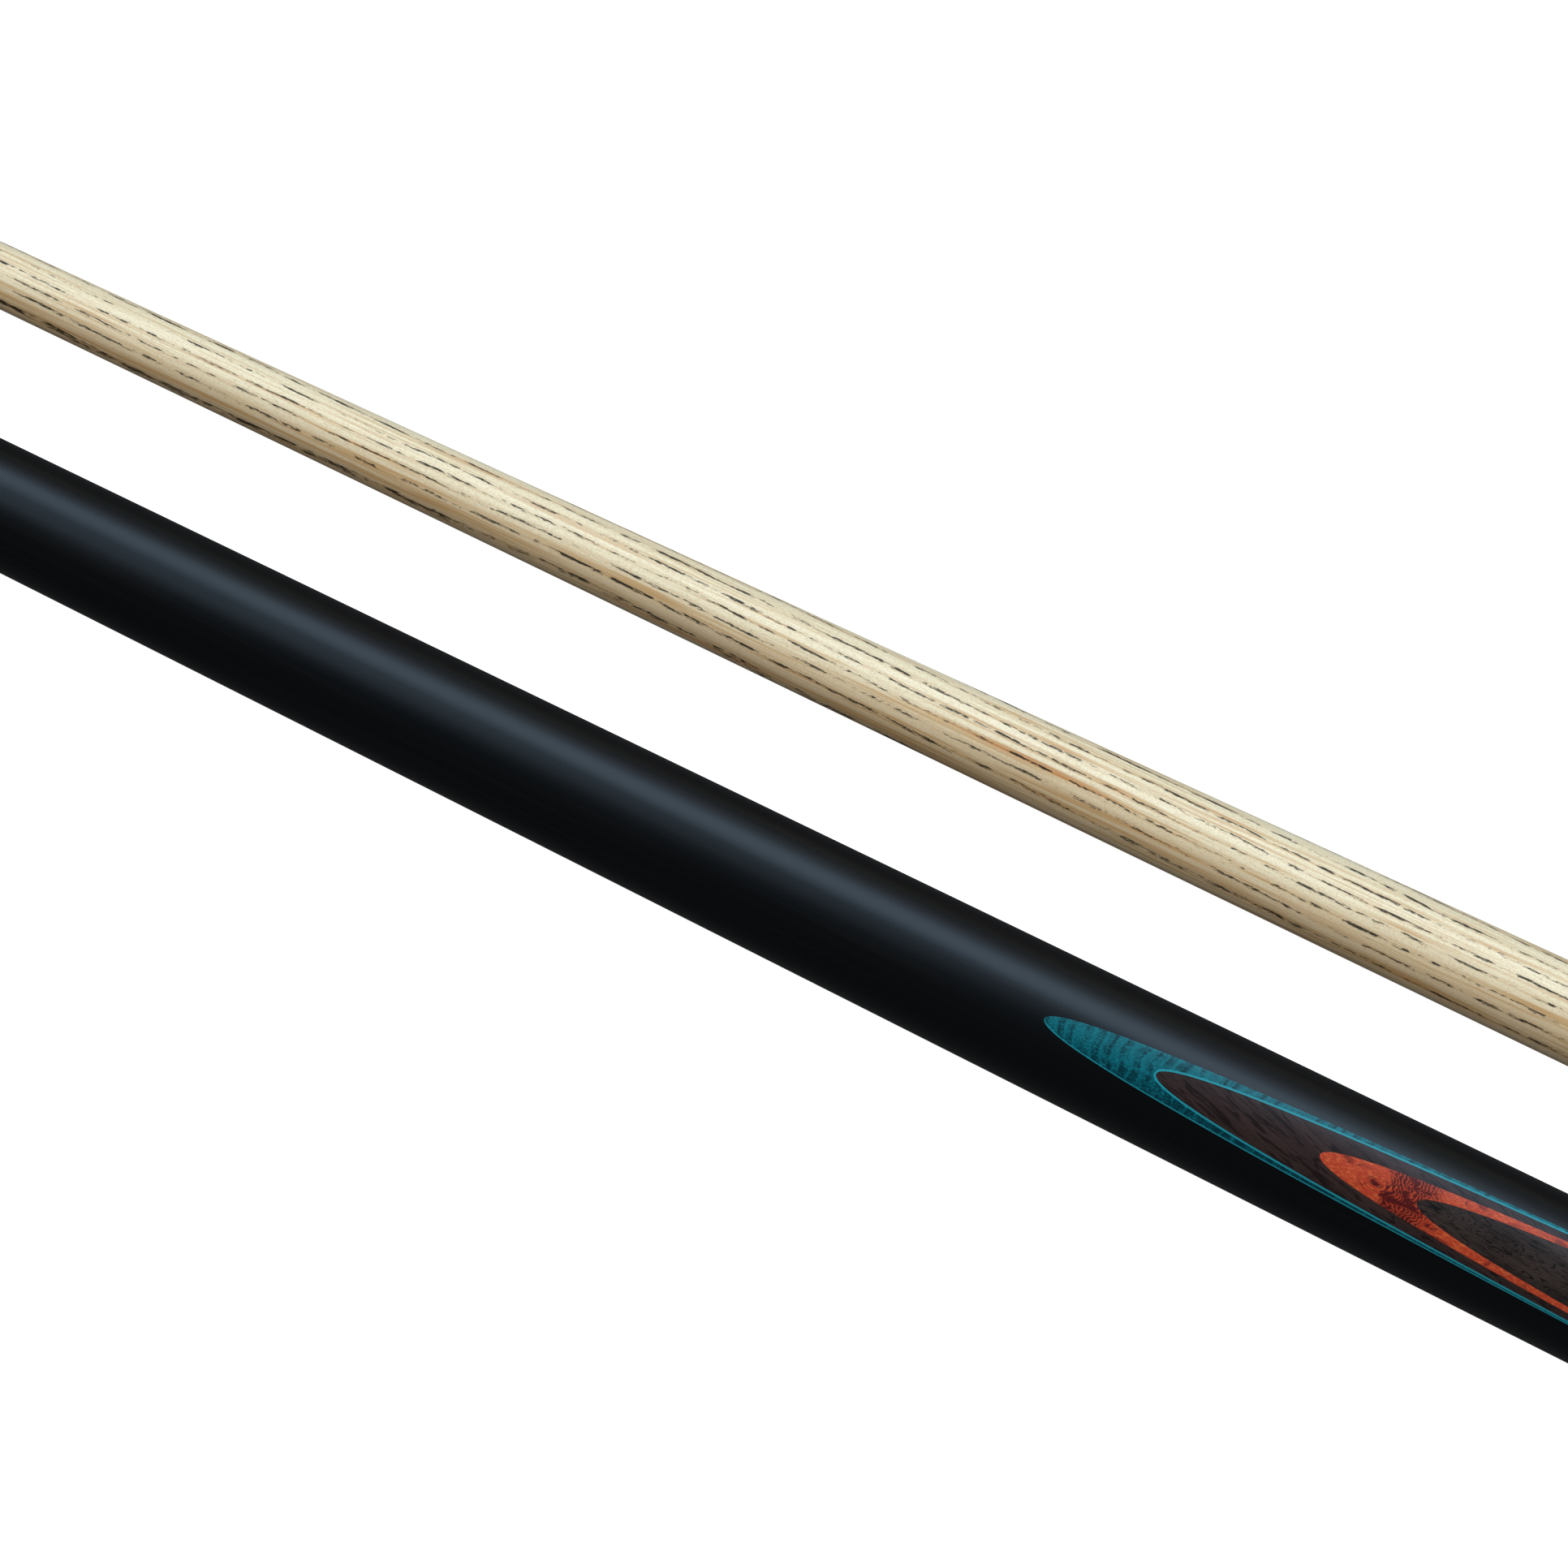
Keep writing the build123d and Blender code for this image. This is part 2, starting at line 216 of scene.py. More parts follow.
def finishMesh(name, points, faces, lay, outer=None, fields=None, sharp=30):
    # points are in the half's own axes and in millimetres; outer marks faces on the butt's turned
    # surface, which take their normals from it; fields holds a value for every point
    shape = bmesh.new()
    outerMark = shape.faces.layers.int.new("outer")
    layers = {key: shape.verts.layers.float.new(key) for key in fields or {}}
    corners = [shape.verts.new(point) for point in points]
    for key, values in (fields or {}).items():
        for corner, value in zip(corners, values):
            corner[layers[key]] = value
    for index, face in enumerate(faces):
        made = shape.faces.new([corners[i] for i in face])
        made[outerMark] = int(outer[index]) if outer else 0
    bmesh.ops.remove_doubles(shape, verts=shape.verts, dist=weld["merge"])
    bmesh.ops.dissolve_degenerate(shape, edges=shape.edges, dist=weld["sliver"])
    bmesh.ops.recalc_face_normals(shape, faces=shape.faces)
    mesh = bpy.data.meshes.new(name)
    shape.to_mesh(mesh)
    shape.free()
    mesh.polygons.foreach_set("use_smooth", [True] * len(mesh.polygons))
    if outer:
        turn = lay.to_3x3()
        marks = mesh.attributes["outer"].data
        normals = [None] * len(mesh.loops)
        for polygon in mesh.polygons:
            for loop in polygon.loop_indices:
                x, y, z = mesh.vertices[mesh.loops[loop].vertex_index].co
                swell = slopeAt(buttRadius, x) * math.hypot(y, z)
                turned = Vector((-swell, y, z)).normalized()
                normals[loop] = turn @ (turned if marks[polygon.index].value else polygon.normal)
    else:
        mesh.set_sharp_from_angle(angle=math.radians(sharp))
    mesh.transform(lay @ Matrix.Scale(mm, 4))
    if outer:
        mesh.normals_split_custom_set(normals)
    mesh.attributes.remove(mesh.attributes["outer"])
    piece = bpy.data.objects.new(name, mesh)
    bpy.context.scene.collection.objects.link(piece)
    return piece


def settle(piece, body, node, finish):
    piece.data.materials.clear()
    piece.data.materials.append(finish)
    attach(piece, body)
    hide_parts(node)


def atQuarter(x, side, up, quarter):
    # a point drawn in the top quarter of a section, turned to another quarter
    turn = quarter * math.pi / 2
    return (
        x,
        side * math.cos(turn) + up * math.sin(turn),
        up * math.cos(turn) - side * math.sin(turn),
    )


def circle(x, radius, sides):
    turns = [2 * math.pi * side / sides for side in range(sides)]
    return [(x, radius * math.sin(turn), radius * math.cos(turn)) for turn in turns]


def joinLoops(loops, closed=False):
    # quads between one loop and the next
    count = len(loops[0])
    points = [point for loop in loops for point in loop]
    pairs = list(zip(range(len(loops) - 1), range(1, len(loops))))
    if closed:
        pairs.append((len(loops) - 1, 0))
    faces = []
    for here, there in pairs:
        for side in range(count):
            after = (side + 1) % count
            faces.append(
                (here * count + side, here * count + after, there * count + after, there * count + side)
            )
    return points, faces


turnedSides = 96


def turnedShape(profile):
    # a profile of (x, radius) that ends at two poles, or comes back to where it started
    ring = profile[0][1] > 0
    profile = [(x, max(radius, 0)) for x, radius in profile]
    return joinLoops([circle(x, radius, turnedSides) for x, radius in profile], closed=ring)


def outlineRun(radius, start, end, gap=4.0):
    count = max(2, int(abs(end - start) / gap))
    places = [start + (end - start) * step / count for step in range(count + 1)]
    return [(x, radius(x)) for x in places]


def eased(corner, before, after, reach):
    # a small rounding of one corner of a profile
    steps = 4
    corner, before, after = Vector(corner), Vector(before), Vector(after)
    start = corner + (before - corner).normalized() * reach
    end = corner + (after - corner).normalized() * reach
    rounded = []
    for step in range(steps + 1):
        t = step / steps
        rounded.append(tuple(start * (1 - t) ** 2 + corner * 2 * t * (1 - t) + end * t * t))
    return rounded


# Node trees


class Wire:
    # one socket of a node tree; sums of wires and numbers add their own Math nodes
    def __init__(self, tree, socket):
        self.tree = tree
        self.socket = socket

    def node(self, kind, settings=None, inputs=None, output=0):
        made = self.tree.nodes.new(kind)
        for key, value in (settings or {}).items():
            setattr(made, key, value)
        for key, value in (inputs or {}).items():
            if isinstance(value, Wire):
                self.tree.links.new(value.socket, made.inputs[key])
            else:
                made.inputs[key].default_value = value
        return Wire(self.tree, made.outputs[output])

    def other(self, output):
        return Wire(self.tree, self.socket.node.outputs[output])

    def maths(self, operation, first, second=0.0):
        return self.node("ShaderNodeMath", {"operation": operation}, {0: first, 1: second})

    def __add__(self, value):
        return self.maths("ADD", self, value)

    def __radd__(self, value):
        return self.maths("ADD", value, self)

    def __sub__(self, value):
        return self.maths("SUBTRACT", self, value)

    def __mul__(self, value):
        return self.maths("MULTIPLY", self, value)

    def __truediv__(self, value):
        return self.maths("DIVIDE", self, value)

    def fraction(self):
        return self.maths("FRACT", self)

    def size(self):
        return self.maths("ABSOLUTE", self)

    def least(self, value):
        return self.maths("MINIMUM", self, value)

    def most(self, value):
        return self.maths("MAXIMUM", self, value)

    def sine(self):
        return self.maths("SINE", self)

    def cosine(self):
        return self.maths("COSINE", self)

    def root(self):
        return self.maths("SQRT", self)

    def between(self, low, high, toLow=0.0, toHigh=1.0):
        # a soft step from toLow to toHigh as the value goes from low to high
        return self.node(
            "ShaderNodeMapRange",
            {"interpolation_type": "SMOOTHSTEP"},
            {"Value": self, "From Min": low, "From Max": high, "To Min": toLow, "To Max": toHigh},
        )

    def tint(self, below, above):
        # a colour between two others, by this value
        return self.node(
            "ShaderNodeMix", {"data_type": "RGBA"}, {0: self, 6: below, 7: above}, output=2
        )

    def scaled(self, x, y, z):
        return self.node("ShaderNodeVectorMath", {"operation": "MULTIPLY"}, {0: self, 1: (x, y, z)})

    def cloud(self, size, detail=2.0, roughness=0.5, warp=0.0):
        # noise with a grain of size = (x, y, z) millimetres, on a vector
        return self.node(
            "ShaderNodeTexNoise",
            inputs={
                "Vector": self.scaled(*[1 / part for part in size]),
                "Scale": 1.0,
                "Detail": detail,
                "Roughness": roughness,
                "Distortion": warp,
            },
        )


# Threads, made by one node tree from a flat grid that is rolled round the axis


def threadTree():
    tree = bpy.data.node_groups.new("rolled thread", "GeometryNodeTree")
    sockets = {}
    tree.interface.new_socket("Geometry", in_out="OUTPUT", socket_type="NodeSocketGeometry")
    for title in ("Start", "Length", "Radius", "Depth", "Pitch"):
        made = tree.interface.new_socket(title, in_out="INPUT", socket_type="NodeSocketFloat")
        sockets[title] = made.identifier
    for title in ("Stations", "Sides"):
        made = tree.interface.new_socket(title, in_out="INPUT", socket_type="NodeSocketInt")
        sockets[title] = made.identifier
    made = tree.interface.new_socket("Finish", in_out="INPUT", socket_type="NodeSocketMaterial")
    sockets["Finish"] = made.identifier
    given = tree.nodes.new("NodeGroupInput")
    wire = Wire(tree, given.outputs["Start"])
    start, length, radius = [Wire(tree, given.outputs[key]) for key in ("Start", "Length", "Radius")]
    depth, pitch = Wire(tree, given.outputs["Depth"]), Wire(tree, given.outputs["Pitch"])
    stationCount, sideCount = Wire(tree, given.outputs["Stations"]), Wire(tree, given.outputs["Sides"])
    grid = wire.node(
        "GeometryNodeMeshGrid",
        inputs={"Size X": 1.0, "Size Y": 1.0, "Vertices X": stationCount, "Vertices Y": sideCount},
    )
    flat = wire.node("ShaderNodeSeparateXYZ", inputs={0: wire.node("GeometryNodeInputPosition")})
    along = flat + 0.5
    turn = (flat.other("Y") + 0.5) * (2 * math.pi)
    x = along * length
    # the crest is full at both ends and cut in between
    phase = (x / pitch + turn / (2 * math.pi)).fraction()
    tooth = ((phase - 0.5).size() * 2).least(1.0)
    fade = (x / pitch).least((length - x) / pitch).least(1.0).most(0.0)
    reach = radius - depth * tooth * fade
    rolled = wire.node(
        "ShaderNodeCombineXYZ", inputs={0: start + x, 1: reach * turn.sine(), 2: reach * turn.cosine()}
    )
    moved = wire.node("GeometryNodeSetPosition", inputs={"Geometry": grid, "Position": rolled})
    seam = wire.node("GeometryNodeMergeByDistance", inputs={"Geometry": moved, "Distance": 1e-4})
    real = wire.node("GeometryNodeRealizeInstances", inputs={"Geometry": seam})
    ready = wire.node(
        "GeometryNodeSetMaterial",
        inputs={"Geometry": real, "Material": Wire(tree, given.outputs["Finish"])},
    )
    out = tree.nodes.new("NodeGroupOutput")
    tree.links.new(ready.socket, out.inputs["Geometry"])
    return tree, sockets


# Finishes


def shade(red, green, blue):
    # a colour given as it looks on a screen, out of 255
    linear = []
    for part in (red, green, blue):
        part /= 255
        linear.append(part / 12.92 if part < 0.04045 else ((part + 0.055) / 1.055) ** 2.4)
    return (*linear, 1.0)


def openFinish(name, lay):
    # a material whose pattern is read in the half's own axes, in millimetres
    material = bpy.data.materials.new(name)
    material.use_nodes = True
    tree = material.node_tree
    tree.nodes.clear()
    wire = Wire(tree, None)
    place = wire.node(
        "ShaderNodeMapping",
        {"vector_type": "TEXTURE"},
        {
            "Vector": wire.node("ShaderNodeTexCoord", output="Object"),
            "Location": lay.translation,
            "Rotation": lay.to_euler(),
            "Scale": (mm, mm, mm),
        },
    )
    return material, place


def closeFinish(material, colour, roughness, metallic=0.0, height=None, bump=(0.1, 0.0001), **fixed):
    tree = material.node_tree
    wire = Wire(tree, None)
    inputs = {"Base Color": colour, "Roughness": roughness, "Metallic": metallic, **fixed}
    if height is not None:
        strength, distance = bump
        inputs["Normal"] = wire.node(
            "ShaderNodeBump", inputs={"Strength": strength, "Distance": distance, "Height": height}
        )
    surface = wire.node("ShaderNodeBsdfPrincipled", inputs=inputs)
    out = tree.nodes.new("ShaderNodeOutputMaterial")
    tree.links.new(surface.socket, out.inputs["Surface"])
    return material


ashLook = {
    "cream": shade(228, 213, 178),
    "pale": shade(238, 230, 204),
    "tan": shade(196, 160, 112),
    "rust": shade(190, 120, 62),
    "pore": shade(30, 25, 18),
    "ringWidth": 2.15,
    "slant": 0.017,  # how fast the rings run out along the wood
    "lean": 0.16,  # how far they lean from upright
    "drift": 4.0,
    "wander": 0.7,
    "earlyWood": ((0.0, 0.07), (0.15, 0.36)),  # shares of a ring
    "lateWood": ((0.70, 0.97), (0.985, 1.0)),
    "poreLevel": 0.66,
    # tan towards one side: partly heartwood tone, partly painted shade on the shaft's side away from
    # the key light
    "heartAndShadeSide": (-2.0, 4.0, 0.46),
}


def ashFinish(name, lay):
    material, place = openFinish(name, lay)
    parts = place.node("ShaderNodeSeparateXYZ", inputs={0: place})
    across, up = parts.other("Y"), parts.other("Z")
    # growth rings stand nearly upright, run out of the wood slowly and wander
    drift = (place.cloud((150, 22, 22), detail=1.0) - 0.5) * ashLook["drift"]
    wander = (place.cloud((14, 5, 5), detail=2.0) - 0.5) * ashLook["wander"]
    depth = across + parts * ashLook["slant"] + up * ashLook["lean"] + drift + wander
    phase = (depth / ashLook["ringWidth"]).fraction()
    early, late = [
        phase.between(*rise) * phase.between(*fall, 1.0, 0.0)
        for rise, fall in (ashLook["earlyWood"], ashLook["lateWood"])
    ]
    # open pores, cut lengthwise: slivers in broken rows
    clump = place.cloud((4.8, 1.0, 1.0), detail=3.0, roughness=0.7)
    stretch = place.cloud((48, 4, 4), detail=1.0)
    sliver = place.cloud((1.3, 0.11, 0.11), detail=4.0, roughness=0.72)
    reach = early * (clump.between(0.40, 0.58) * 0.75 + stretch.between(0.45, 0.65) * 0.25)
    stray = place.cloud((5, 0.3, 0.3), detail=1.0).between(0.74, 0.80) * 0.5
    pore = (sliver + reach * 0.32 - ashLook["poreLevel"]).between(0.0, 0.03)
    pore = pore.most(stray * sliver.between(0.5, 0.6))
    fibre = place.cloud((7, 0.15, 0.15), detail=3.0, roughness=0.6)
    streak = place.cloud((60, 0.9, 0.9), detail=3.0, roughness=0.6)
    speckle = place.cloud((0.5, 0.4, 0.4), detail=3.0, roughness=0.8)
    wood = ((fibre - 0.5) * 1.6 + 0.5).between(0.0, 1.0).tint(ashLook["pale"], ashLook["cream"])
    # painted shade: one side is painted tan, partly a heartwood tone and partly the shaft's side away
    # from the key light painted darker; streaks along the rings are warmer too
    sideStart, sideEnd, heartAndShadeTan = ashLook["heartAndShadeSide"]
    warm = streak.between(0.46, 0.66) * 0.6 + late * 0.25 + early * 0.22
    warm = warm + across.between(sideStart, sideEnd, 0.0, heartAndShadeTan)
    wood = warm.least(1.0).tint(wood, ashLook["tan"])
    rusty = streak.between(0.60, 0.72) * (early * 0.7 + late * 0.5 + 0.15)
    wood = rusty.tint(wood, ashLook["rust"])
    wood = (speckle.between(0.46, 0.66) * 0.42).tint(wood, ashLook["tan"])
    wood = (pore * 0.95).tint(wood, ashLook["pore"])
    roughness = 0.42 + pore * 0.25 + (fibre - 0.5) * 0.1
    return closeFinish(
        material, wood, roughness, height=fibre * 0.15 - pore, bump=(0.35, 0.00012), **{"IOR": 1.45}
    )


ebonyLook = {"black": shade(5, 5, 6), "brown": shade(15, 13, 12)}
ebonyGloss = {"Specular IOR Level": 0.36, "Specular Tint": (0.74, 0.88, 1.0, 1.0)}
spliceGloss = {"Specular IOR Level": 0.22, "Specular Tint": (0.74, 0.88, 1.0, 1.0)}


def ebonyFinish(name, lay):
    material, place = openFinish(name, lay)
    grain = place.cloud((60, 1.3, 1.3), detail=3.0)
    pore = place.cloud((3.2, 0.16, 0.16), detail=2.0).between(0.66, 0.74)
    wood = (grain.between(0.45, 0.8) * 0.6).tint(ebonyLook["black"], ebonyLook["brown"])
    roughness = 0.37 + (grain - 0.5) * 0.05 + pore * 0.05
    return closeFinish(
        material, wood, roughness, height=pore * -1.0, bump=(0.06, 0.00003), **ebonyGloss
    )


burrLook = {
    "teal": shade(4, 99, 111),
    "tealPale": shade(24, 136, 148),
    "tealDeep": shade(0, 44, 54),
    "tealLine": shade(30, 138, 152),
    "ripples": (2.6, 1.1),  # the lengths of its two ripples
    "outerLine": 0.30,
    "innerLine": 0.42,
    "orange": shade(164, 55, 34),
    "orangePale": shade(212, 108, 60),
    "orangeDeep": shade(72, 17, 17),
    "eye": (588.0, -0.3),
    "eyeRings": 0.62,
    "crossGrain": 0.8,
}


def wave(length):
    return 2 * math.pi / length


def tealFinish(name, lay):
    material, place = openFinish(name, lay)
    bend = (place.cloud((8, 7, 7), detail=1.0) - 0.5) * 4.0
    parts = place.node("ShaderNodeSeparateXYZ", inputs={0: place})
    along = parts + bend - parts.other("Y") * parts.other("Y") * 0.03
    slow, quick = [(along * wave(length)).sine() for length in burrLook["ripples"]]
    ripple = slow + quick * 0.5
    patch = place.cloud((5, 2.2, 2.2), detail=2.0)
    stipple = place.cloud((0.6, 0.3, 0.3), detail=3.0, roughness=0.8)
    figure = ripple * patch.between(0.35, 0.60, 0.08, 0.28) + (patch - 0.5) + (stipple - 0.5) * 2.2
    # painted shade: the teal is painted darker towards its low side, away from the key light, and
    # lighter towards its lit high side
    dark = (figure + parts.other("Y").between(-5.0, 1.0, 0.9, 0.40)).between(0.0, 1.0)
    wood = dark.tint(burrLook["teal"], burrLook["tealDeep"])
    wood = stipple.between(0.22, 0.46, 0.7, 0.0).tint(wood, burrLook["tealPale"])
    # a pale line along each edge, fainter along the high side of the outer one
    outer, inner = [
        place.node("ShaderNodeAttribute", {"attribute_name": field}, output="Fac").between(
            width * 0.7, width, 1.0, 0.0
        )
        for field, width in (
            ("fromOuter", burrLook["outerLine"]),
            ("fromInner", burrLook["innerLine"]),
        )
    ]
    lowSide = parts.other("Y").between(-1.5, 0.5, 0.7, 0.1)
    wood = (outer * lowSide).most(inner * 0.85).tint(wood, burrLook["tealLine"])
    return closeFinish(material, wood, 0.38 + (stipple - 0.5) * 0.08, **spliceGloss)


def orangeFinish(name, lay):
    material, place = openFinish(name, lay)
    parts = place.node("ShaderNodeSeparateXYZ", inputs={0: place})
    along, across = parts, parts.other("Y")
    eyeAlong, eyeAcross = burrLook["eye"]
    swirl = place.cloud((5, 2.5, 2.5), detail=3.0, warp=1.2)
    fleck = place.cloud((0.9, 0.24, 0.24), detail=3.0, roughness=0.7)
    # a pin knot, with rings round it and darker, cross-grained wood behind it
    lengthways = (along - eyeAlong) * 0.55
    sideways = across - eyeAcross
    fromEye = (lengthways * lengthways + sideways * sideways).root() + (swirl - 0.5) * 2.2
    rings = (fromEye * wave(burrLook["eyeRings"])).sine() * fromEye.between(1.4, 3.2, 1.0, 0.0)
    behind = along.between(eyeAlong + 0.5, eyeAlong + 3.5)
    behind = behind * along.between(eyeAlong + 8, eyeAlong + 16, 1.0, 0.0)
    arcs = (along + across * across * 0.05 + (swirl - 0.5) * 5) * wave(burrLook["crossGrain"])
    arcs = arcs.sine()
    deep = fromEye.between(0.3, 0.9, 0.95, 0.0) + rings * 0.3 + behind * (arcs * 0.35 + 0.7)
    deep = deep + swirl.between(0.50, 0.68) * 0.6 + (fleck - 0.5) * 2.0
    wood = fleck.between(0.46, 0.70).tint(burrLook["orange"], burrLook["orangePale"])
    wood = deep.between(0.1, 1.0).tint(wood, burrLook["orangeDeep"])
    return closeFinish(material, wood, 0.38 + (fleck - 0.5) * 0.08, **spliceGloss)


darkLook = {
    "plum": {
        "pale": shade(52, 38, 37),
        "deep": shade(26, 17, 16),
        "grain": (15, 1.6, 1.6),
        "slant": 0.30,
        "lines": 30,
        "warp": 0.3,
    },
    "umber": {
        "pale": shade(54, 43, 40),
        "deep": shade(14, 11, 10),
        "grain": (11, 1.5, 1.5),
        "slant": 0.10,
        "lines": 70,
        "warp": 0.7,
    },
}


def darkFinish(name, lay, look):
    material, place = openFinish(name, lay)
    turned = {"Vector": place, "Rotation": (0, 0, look["slant"])}
    leaning = place.node("ShaderNodeMapping", inputs=turned)
    figure = leaning.cloud(look["grain"], detail=2.0, warp=look["warp"])
    line = (figure * look["lines"]).sine().between(0.5, 1.0)
    grain = place.cloud((2.2, 0.15, 0.15), detail=3.0, roughness=0.7)
    amount = (figure - 0.5) * 1.2 + line * 0.62 + (grain - 0.5) * 1.5 + 0.3
    wood = amount.between(0.0, 1.0).tint(look["pale"], look["deep"])
    return closeFinish(material, wood, 0.38 + (grain - 0.5) * 0.08, **spliceGloss)


fittingLook = {
    "brass": shade(226, 188, 112),
    "tarnish": shade(188, 146, 78),
    "steel": shade(196, 198, 202),
    "steelDull": shade(168, 170, 176),
    "rubber": shade(24, 24, 25),
    "dust": shade(44, 43, 42),
    "leather": shade(126, 92, 62),
    "leatherDark": shade(92, 66, 46),
    "chalk": shade(62, 118, 150),
    "chalkPale": shade(98, 152, 176),
    "chalkDepth": (-0.4, 0.5),  # how far behind and past the leather's shoulder the chalk fades
    "fibre": shade(30, 29, 28),
    "fibrePale": shade(46, 44, 42),
}


def brassFinish(name, lay):
    material, place = openFinish(name, lay)
    # fine rings left by turning, and a little tarnish
    rings = place.cloud((0.09, 40, 40), detail=2.0)
    tarnish = place.cloud((6, 6, 6), detail=3.0)
    metal = tarnish.between(0.35, 0.75).tint(fittingLook["brass"], fittingLook["tarnish"])
    roughness = 0.20 + (rings - 0.5) * 0.14 + tarnish.between(0.4, 0.8) * 0.12
    return closeFinish(material, metal, roughness, metallic=1.0, height=rings, bump=(0.08, 0.00002))


def steelFinish(name, lay):
    material, place = openFinish(name, lay)
    rings = place.cloud((0.12, 40, 40), detail=2.0)
    metal = rings.tint(fittingLook["steel"], fittingLook["steelDull"])
    return closeFinish(material, metal, 0.26 + (rings - 0.5) * 0.16, metallic=1.0)


def rubberFinish(name, lay):
    material, place = openFinish(name, lay)
    skin = place.cloud((0.5, 0.5, 0.5), detail=3.0)
    dust = place.cloud((6, 6, 6), detail=3.0)
    rubber = dust.between(0.5, 0.8).tint(fittingLook["rubber"], fittingLook["dust"])
    return closeFinish(material, rubber, 0.62 + dust * 0.15, height=skin, bump=(0.25, 0.00008))


def leatherFinish(name, lay):
    material, place = openFinish(name, lay)
    # brown at its side, with blue chalk rubbed into its dome
    nap = place.cloud((0.3, 0.3, 0.3), detail=3.0, roughness=0.7)
    patch = place.cloud((1.0, 1.0, 1.0), detail=3.0, roughness=0.7)
    along = place.node("ShaderNodeSeparateXYZ", inputs={0: place})
    start, end = [shaft["tipShoulder"] + past for past in fittingLook["chalkDepth"]]
    dome = (along + (patch - 0.5) * 1.6).between(start, end)
    hide = nap.between(0.35, 0.65).tint(fittingLook["leather"], fittingLook["leatherDark"])
    chalk = (patch * 0.6 + nap * 0.4).between(0.38, 0.62)
    chalk = chalk.tint(fittingLook["chalk"], fittingLook["chalkPale"])
    hide = (dome * nap.between(0.25, 0.5, 0.55, 0.95)).tint(hide, chalk)
    return closeFinish(material, hide, 0.85, height=nap, bump=(0.5, 0.0001))


def fibreFinish(name, lay):
    material, place = openFinish(name, lay)
    pressed = place.cloud((0.4, 1.2, 1.2), detail=3.0)
    fibre = pressed.tint(fittingLook["fibre"], fittingLook["fibrePale"])
    return closeFinish(material, fibre, 0.7 + (pressed - 0.5) * 0.2)


finishes = {
    "shaftAsh": ashFinish("oiled ash of the shaft", shaftLay),
    "coreAsh": ashFinish("oiled ash of the core", buttLay),
    "ebony": ebonyFinish("oiled ebony", buttLay),
    "teal": tealFinish("teal burr", buttLay),
    "plum": darkFinish("plum wood", buttLay, darkLook["plum"]),
    "orange": orangeFinish("orange burr", buttLay),
    "umber": darkFinish("umber wood", buttLay, darkLook["umber"]),
    "buttBrass": brassFinish("turned brass of the butt", buttLay),
    "shaftBrass": brassFinish("turned brass of the shaft", shaftLay),
    "steel": steelFinish("turned steel", buttLay),
    "rubber": rubberFinish("moulded rubber", buttLay),
    "leather": leatherFinish("chalked leather", shaftLay),
    "fibre": fibreFinish("vulcanised fibre", buttLay),
}
print("mixed", len(finishes), "finishes")

# The shaft half


def shaftWood():
    profile = [
        (joint["insertEnd"], 0),
        (joint["insertEnd"], joint["insertRadius"]),
        (joint["collarFace"], joint["insertRadius"]),
        (joint["collarFace"], joint["tenonRadius"]),
        (joint["collarLength"], joint["tenonRadius"]),
        *outlineRun(shaftRadius, joint["collarLength"], shaft["ferruleBack"]),
        (shaft["ferruleBack"], shaft["ferruleTenon"]),
        (shaft["ferruleFront"] - shaft["ferruleCap"], shaft["ferruleTenon"]),
        (shaft["ferruleFront"] - shaft["ferruleCap"], 0),
    ]
    return finishMesh("shaftWood", *turnedShape(profile), shaftLay)


def tipFerrule():
    front, back, ease = shaft["ferruleFront"], shaft["ferruleBack"], shaft["ferruleEase"]
    profile = [
        (front, 0),
        *eased((front, shaftRadius(front)), (front, 0), (back, shaftRadius(back)), ease),
        *outlineRun(shaftRadius, front - 2 * ease, back, 1.0),
        (back, shaft["ferruleTenon"]),
        (front - shaft["ferruleCap"], shaft["ferruleTenon"]),
        (front - shaft["ferruleCap"], 0),
    ]
    return finishMesh("tipFerrule", *turnedShape(profile), shaftLay)


def leatherTip():
    rise = shaft["tipEnd"] - shaft["tipShoulder"]
    radius = shaft["tipRadius"]
    dome = (radius**2 + rise**2) / (2 * rise)
    lip = math.asin(radius / dome)
    steps = 14
    leans = [lip * step / steps for step in range(steps + 1)]
    foot, (along, inwards) = shaft["ferruleFront"], shaft["tipBevel"]
    profile = [
        *[(shaft["tipEnd"] - dome * (1 - math.cos(lean)), dome * math.sin(lean)) for lean in leans],
        (foot + along, radius),
        (foot, radius - inwards),
        (foot, 0),
    ]
    return finishMesh("leatherTip", *turnedShape(profile), shaftLay, sharp=40)


def collarShape(radius, innerFace):
    # a cup over the tenon, with two turned lines round it
    face, length = joint["collarFace"], joint["collarLength"]
    half, depth = joint["grooveWidth"] / 2, joint["grooveDepth"]
    floor = half * joint["grooveFloor"]
    outside = eased((0, radius(0)), (0, innerFace), (length, radius(length)), joint["collarEase"])
    for share in joint["groovePlaces"]:
        place = share * length
        edge = radius(place)
        outside += [(place - half, edge), (place - floor, edge - depth)]
        outside += [(place + floor, edge - depth), (place + half, edge)]
    outside.append((length, radius(length)))
    profile = [(0, innerFace), *outside, (length, joint["tenonRadius"])]
    profile += [(face, joint["tenonRadius"]), (face, innerFace)]
    return turnedShape(profile)


threadGroup, threadSockets = threadTree()
threadSides = 48


